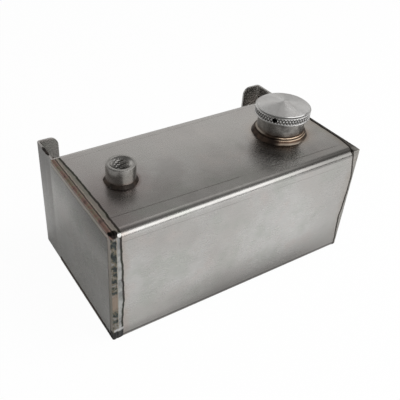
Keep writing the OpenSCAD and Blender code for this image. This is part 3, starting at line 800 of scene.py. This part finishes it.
def threaded_port(name, outline, bore, pitch, depth, zone, centre, axis="Z"):
    """Turned port. Its bore, between the two heights of zone, gets a thread cut outwards by depth."""
    low, high = zone
    points = []
    for (r0, z0), (r1, z1) in zip(outline, outline[1:] + outline[:1]):
        in_bore = abs(r0 - bore) < 0.01 and abs(r1 - bore) < 0.01
        n = max(1, math.ceil(abs(z1 - z0) / 0.17)) if in_bore else 1
        points += [(r0 + (r1 - r0) * i / n, z0 + (z1 - z0) * i / n) for i in range(n)]

    def move(t, r, z):
        cutting = (np.abs(r - bore) < 0.01) & (z > low) & (z < high)
        cut = np.clip(triangle_wave(z / pitch - t / TAU) * 1.25 - 0.12, 0, 1)
        return np.where(cutting, r + depth * cut, r)

    return tidy_mesh(grid_mesh(name, lathe(points, 120, centre, move, axis), loop_u=True), 30)


def filler_neck_mesh():
    """Neck with a ledge for the basket and a coarse inside thread for the cap."""
    lo, hi = (neck_lo.z - TOP) / MM, (neck_hi.z - TOP) / MM
    outer = (neck_hi.x - neck_mid.x) / MM
    outline = [(NECK_THROAT, lo), (outer, lo), (outer, hi - 0.5), (outer - 0.15, hi - 0.15),
               (outer - 0.5, hi), (NECK_BORE + 0.6, hi), (NECK_BORE, hi - 0.6),
               (NECK_BORE, NECK_LEDGE), (NECK_THROAT, NECK_LEDGE)]
    return threaded_port("neck", outline, NECK_BORE, CAP_THREAD, 0.9, (NECK_LEDGE + 1.5, hi - 0.7),
                         (neck_mid.x, neck_mid.y, TOP))


def cap_mesh():
    """Cap head with a diamond knurl and a low conical top, and a threaded spigot. Gives the mesh, the
    heights of the head's underside and of its rim, and the share of a knurl's groove at any point."""
    low, apex = (cap_lo.z - TOP) / MM, (cap_hi.z - TOP) / MM
    rim = apex - CAP_CONE_H
    head = rim - CAP_HEAD_H
    r_out = (cap_hi.x - cap_mid.x) / MM
    r_cone, r_knurl = r_out - CAP_RIM_W, r_out - 0.02
    k0, k1 = head + KNURL_UP, head + KNURL_UP + KNURL_H
    side = [(SPIGOT_R, head), (r_out - 0.45, head), (r_out - 0.1, head + 0.15), (r_out, head + 0.4),
            (r_out, head + 0.85), (r_out - 0.12, head + 1.05), (r_out - 0.35, head + 1.2)]
    knurl = [(r_knurl, k0 + (k1 - k0) * i / 26) for i in range(27)]
    edge = [(r_out - 0.45, k1 + 0.1), (r_out - 0.45, k1 + 0.22), (r_out - 0.12, k1 + 0.36),
            (r_out - 0.1, k1 + 0.85), (r_out - 0.3, k1 + 1.08), (r_out - 0.95, k1 + 1.4),
            (r_out - 1.5, rim - 0.55), (r_out - 1.6, rim - 0.35), (r_out - 1.75, rim - 0.1),
            (r_out - 1.95, rim), (r_cone, rim)]
    cone = [(r_cone * share, rim + (apex - rim) * (1 - share)) for share in (0.97, 0.8, 0.6, 0.4, 0.2, 0.06)]
    roof = rim - CAP_ROOF
    inside = [(0.0, apex), (0.0, roof), (CHAMBER_R, roof), (CHAMBER_R, low), (SPIGOT_R - 0.7, low),
              (SPIGOT_R - 0.1, low + 0.6)]
    spigot = [(SPIGOT_R, low + 0.7 + (head - low - 1.6) * i / 60) for i in range(61)]

    def ease(z):
        """Falls to 0 at the knurl's two ends."""
        return np.clip(np.minimum(z - k0, k1 - z) / 0.35, 0, 1)

    def groove_at(t, z):
        """Depth share of the two crossing sets of grooves, 1 at a groove's bottom."""
        a, b = t / TAU * KNURL_ROUNDS, (z - k0) / KNURL_H
        return ease(z) * (1 - np.clip(np.minimum(triangle_wave(a + b), triangle_wave(a - b)) * 1.15, 0, 1))

    def move(t, r, z):
        knurled = (z >= k0 - 1e-6) & (z <= k1 + 1e-6) & (np.abs(r - r_knurl) < 0.01)
        r = np.where(knurled, r - 0.6 * groove_at(t, z) - 0.35 * (1 - ease(z)), r)
        cutting = (np.abs(r - SPIGOT_R) < 0.01) & (z > low + 0.9) & (z < head - 1.0)
        wave = np.clip(triangle_wave(z / CAP_THREAD - t / TAU + 0.5) * 1.3 - 0.15, 0, 1)
        return np.where(cutting, r - 1.1 * wave, r)

    outline = side + knurl + edge + cone + inside + spigot
    grid = lathe(outline, KNURL_ROUNDS * 10, (cap_mid.x, cap_mid.y, TOP), move)
    return tidy_mesh(grid_mesh("filler_cap_body", grid, loop_u=True)), head, rim, groove_at


def bore_hole(mesh, start, direction, radius, length):
    """Closed mesh with a round hole cut into it."""
    body = link("cut_body", mesh)
    drill_mesh = bpy.data.meshes.new("drill")
    work = bmesh.new()
    bmesh.ops.create_cone(work, cap_ends=True, segments=48, radius1=radius, radius2=radius, depth=length)
    work.to_mesh(drill_mesh)
    work.free()
    drill = link("drill", drill_mesh)
    drill.rotation_mode = "QUATERNION"
    drill.rotation_quaternion = direction.to_track_quat("Z", "Y")
    drill.location = start + direction * (length / 2)
    cut = body.modifiers.new("cut", "BOOLEAN")
    cut.operation, cut.solver, cut.object = "DIFFERENCE", "EXACT", drill
    bpy.context.view_layer.update()
    made = bpy.data.meshes.new_from_object(body.evaluated_get(bpy.context.evaluated_depsgraph_get()))
    bpy.data.objects.remove(body)
    bpy.data.objects.remove(drill)
    return made


def by_side(on_top, below, down):
    """Width of an end bead at (y, z): on_top on the tank's top, below under it and down in between."""
    def width(y, z):
        return np.where(z > HEIGHT - 0.5, on_top(y), np.where(z < 0.5, below, down(z)))
    return width


def curve(places, widths):
    return lambda at: np.interp(at, places, widths)


def add_end_beads(bead):
    """Beads around the two ends and the fillets in the corners behind the back panel."""
    left_toe = by_side(curve([0, 15, 50, 95, 115, DEPTH], [9.4, 9.8, 10.3, 9.4, 8.6, 7.5]), 8.5,
                       curve([0, 8, 25, 45, 70, 100, HEIGHT], [9.0, 9.4, 9.3, 11.2, 10.5, 9.6, 9.4]))
    left_face = by_side(curve([0, 8, DEPTH], [6.2, 7.4, 7.2]), 4.0, curve([0, HEIGHT], [6.0, 6.0]))
    right_toe = by_side(curve([0, 5, 9, 20, DEPTH], [8.0, 7.9, 6.2, 3.8, 3.0]), 3.5,
                        curve([0, 12, 25, 38, 51, 69, 87, 98, 106, HEIGHT],
                              [2.8, 3.1, 4.5, 6.0, 4.2, 2.9, 3.1, 5.5, 7.2, 8.0]))
    right_face = by_side(curve([0, DEPTH], [4.2, 4.2]), 4.2, curve([0, HEIGHT], [4.2, 4.2]))
    mesh = end_bead("left_bead", -1, left_toe, left_face, 11, 1.0, 0.5)
    add_bead("left_end_bead", mesh, bead, "left_end_weld")
    mesh = end_bead("right_bead", 1, right_toe, right_face, 29, 0.5, 0.95)
    add_bead("right_end_bead", mesh, right_bead(), "right_end_weld")
    for side, word, seed in ((-1, "left", 41), (1, "right", 57)):
        add_bead(word + "_rear_fillet", rear_fillet(word + "_rear", side, seed), bead, None)


def add_return_port(steel):
    """Return port with its 3/8 inch pipe thread, and its weld ring."""
    r, low, high = (bung_hi.x - bung_mid.x) / MM, (bung_lo.z - TOP) / MM, (bung_hi.z - TOP) / MM
    centre = (bung_mid.x, bung_mid.y, TOP)
    bore, pitch = 7.6, 1.41
    outline = port_outline(r, low, high, (8.0, 6.5), bore, (9.75, 9.6, 1.3))
    mesh = threaded_port("bung", outline, bore, pitch, 0.85, (low + 7.5, high - 1.25), centre)
    add_piece("return_port", mesh, [steel], "tank", "return_bung")
    mesh = ring_bead("bung_bead", centre, r, RETURN_PROFILE, 1.5, 71, 0.3)
    add_bead("return_port_bead", mesh, sooty_bead("port_bead"), "return_bung_weld")


def add_suction_port():
    """Suction port along +X with its 1/2 inch pipe thread, and its weld ring."""
    r, low, high = (port_hi.y - port_mid.y) / MM, (port_lo.x - RIGHT) / MM, (port_hi.x - RIGHT) / MM
    centre = (RIGHT, port_mid.y, port_mid.z)
    bore, pitch = 9.3, 1.81
    outline = port_outline(r, low, high, (10.2, 12), bore, (11.1, 11.0, 1.25))
    mesh = threaded_port("suction", outline, bore, pitch, 1.05, (low + 12.5, high - 1.2), centre, "X")
    steel = turned_steel("suction_steel", STEEL_DULL, STEEL_CLEAN, "X")
    add_piece("suction_port", mesh, [steel], "tank", "suction_bung")
    mesh = ring_bead("suction_bead_mesh", centre, r, SUCTION_PROFILE, 1.6, 83, 0.2, "X")
    add_bead("suction_port_bead", mesh, sooty_bead("suction_bead_skin", 0.3), "suction_bung_weld")


def add_tail_tack():
    """Sooty tack on the cut top edge of the left end plate, behind the back panel."""
    centre = (LEFT + 1.1 * MM, BACK + 9 * MM, TOP - 0.2 * MM)
    mesh = tack_mesh("tail_tack", centre, (1.5, 8.5, 0.95), 113)
    add_bead("left_tail_tack", mesh, sooty_bead("tack_skin", 0.35), None)


def add_filler_neck(steel):
    """Filler neck and its two-pass bead."""
    add_piece("filler_neck_tube", filler_neck_mesh(), [steel], "tank", "filler_neck")
    centre, r = (neck_mid.x, neck_mid.y, TOP), (neck_hi.x - neck_mid.x) / MM
    mesh = ring_bead("neck_bead_mesh", centre, r, NECK_PROFILE, 1.9, 97, 0.10)
    add_bead("filler_neck_bead", mesh, neck_bead(), "filler_neck_weld")


def add_cap():
    """Cap with its vent hole. Its faces above the rim get the top's material."""
    mesh, head, rim, groove_at = cap_mesh()
    out = Vector((math.cos(VENT_ANGLE), math.sin(VENT_ANGLE), 0))
    start = Vector((cap_mid.x, cap_mid.y, TOP + (head + VENT_UP) * MM)) + out * 9 * MM
    mesh = tidy_mesh(bore_hole(mesh, start, out, VENT_R * MM, 22 * MM), 28, 1e-7)
    mesh.materials.clear()
    add_piece("filler_cap_head", mesh, [cap_side(), cap_top()], "cap", "filler_cap")
    for face in mesh.polygons:
        lowest = min(mesh.vertices[v].co.z for v in face.vertices)
        face.material_index = int(lowest > TOP + (rim - 0.02) * MM)
    at = np.array([v.co for v in mesh.vertices])
    dx, dy, z = at[:, 0] - cap_mid.x, at[:, 1] - cap_mid.y, (at[:, 2] - TOP) / MM
    # share of a knurl's groove, which cap_side darkens as painted shade
    groove = np.clip(groove_at(np.arctan2(dy, dx) % TAU, z) * 2.0 - 0.6, 0, 1)
    outside = np.hypot(dx, dy) / MM > (cap_hi.x - cap_mid.x) / MM - 1.2
    add_attribute(mesh, "groove", np.where(outside, groove, 0))


def dress_nodes(sheet, bead):
    """Materials of the CAD nodes that stay as they are."""
    turned = turned_steel("turned_steel", STEEL_DULL, STEEL_CLEAN)
    wire, basket = woven_wire(), perforated()
    chosen = {
        "tank_wrap": sheet, "left_end_plate": sheet, "right_end_plate": sheet, "baffle_plate": sheet,
        "wrap_seam_weld": bead, "baffle_tacks": sooty_bead("tack_bead", 0.2),
        "return_drop_tube": turned, "strainer_nipple": turned, "strainer_end_cap": turned,
        "strainer_core": basket, "strainer_screen": wire, "filler_basket": basket, "basket_ring": turned,
        "cap_gasket": rubber(), "vent_seat": turned, "vent_poppet": turned, "vent_spring": turned,
        "breather_screen": wire, "screen_ring": turned}
    for node, material in chosen.items():
        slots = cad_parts[node].material_slots
        if len(slots) == 0:
            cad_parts[node].data.materials.append(material)
        for slot in slots:
            slot.material = material


# ---- floor and light
# the dome's level by height: behind to the left, behind to the right, in front
BEHIND_LEFT = [(0.0, 0.50), (0.42, 0.60), (0.50, 0.60), (0.56, 0.44), (0.63, 0.20), (0.90, 0.09)]
BEHIND_RIGHT = [(0.0, 0.50), (0.42, 0.50), (0.50, 0.68), (0.57, 0.30), (0.66, 0.28), (0.76, 1.0), (0.92, 0.5)]
AHEAD = [(0.0, 0.12), (0.10, 0.20), (0.25, 0.45), (0.45, 0.40), (0.65, 0.22), (0.95, 0.14)]
FLOOR, FLOOR_GAP = 4.0, 0.05 * MM  # half its side, and its distance below the tank
LIGHT_AIM = Vector((0, 0, 0.06))


def make_floor():
    """Large pale floor, nearly plain white to the camera."""
    mesh = bpy.data.meshes.new("floor")
    corners = [(-1, -1), (1, -1), (1, 1), (-1, 1)]
    mesh.from_pydata([(FLOOR * x, FLOOR * y, 0) for x, y in corners], [], [(0, 1, 2, 3)])
    floor = link("floor", mesh)
    floor.location.z = -FLOOR_GAP
    s = Shader("floor", metallic=0.0)
    s.surface.inputs["Base Color"].default_value = (0.80, 0.80, 0.80, 1)
    s.surface.inputs["Roughness"].default_value = 0.9
    glow = s.node("ShaderNodeEmission", {0: (1, 1, 1), 1: 1.0})
    blend = s.node("ShaderNodeMixShader", {0: s.times(s.is_seen(), 0.97), 1: s.surface.outputs[0],
                                           2: glow.outputs[0]})
    s.put(blend.outputs[0], s.tree.nodes["Material Output"].inputs["Surface"])
    mesh.materials.append(s.material)


def make_world():
    """Dome: a pale wall behind, brighter overhead on the right, a dim room in front; white to the camera."""
    world = bpy.data.worlds.new("studio")
    world.use_nodes = True
    bpy.context.scene.world = world
    w = Nodes(world.node_tree)
    x, y, z = w.node("ShaderNodeSeparateXYZ", {0: w.node("ShaderNodeTexCoord").outputs["Generated"]}).outputs

    def by_height(stops):
        return w.ramp(z, [(at, (level, level * 0.985, level * 0.965)) for at, level in stops], "EASE")

    behind = w.mix(w.span(x, 0.24, 0.34), by_height(BEHIND_LEFT), by_height(BEHIND_RIGHT))
    room = w.mix(w.span(y, -0.25, 0.45), by_height(AHEAD), behind)
    w.put(w.mix(w.is_seen(), room, (1, 1, 1)), w.tree.nodes["Background"].inputs[0])


def soft_light(name, direction, distance, size, power):
    """Rectangular light that looks at the tank's middle from a direction."""
    data = bpy.data.lights.new(name, "AREA")
    data.shape, data.size, data.size_y = "RECTANGLE", size[0], size[1]
    data.energy = power
    light = link(name, data)
    way = Vector(direction).normalized()
    light.location = LIGHT_AIM + way * distance
    light.rotation_mode = "QUATERNION"
    light.rotation_quaternion = way.to_track_quat("Z", "Y")
    return light


bpy.context.scene.view_settings.view_transform = "Standard"
make_camera()
make_floor()
make_world()
soft_light("key", (0.38, -0.85, 0.44), 1.3, (1.9, 0.8), 7.2)
fill = soft_light("fill", (0.42, -0.30, 0.72), 1.5, (1.0, 1.0), 18.5)
fill.visible_glossy = False  # lights the floor, leaves no reflection in the metal

sheet, bead = sheet_steel(), weld_bead()
# painted shade: the neck's steel gets a darker colour than the other turned steel, to dim its reflections;
# the tint is its heat tint
neck_steel_painted_dark = turned_steel("neck_steel_painted_dark", (0.11, 0.105, 0.10), (0.26, 0.25, 0.235),
                          tint=(TOP + 6 * MM, TOP + 11 * MM, (0.13, 0.10, 0.08), 0.75))
port_steel = turned_steel("port_steel", (0.24, 0.235, 0.22), (0.32, 0.31, 0.295),
                          tint=(TOP + 3 * MM, TOP + 5.5 * MM, (0.16, 0.12, 0.10), 0.5),
                          mouth=(bung_mid, bung_hi.z))
add_end_beads(bead)
add_return_port(port_steel)
add_suction_port()
add_tail_tack()
add_filler_neck(neck_steel_painted_dark)
add_cap()
dress_nodes(sheet, bead)
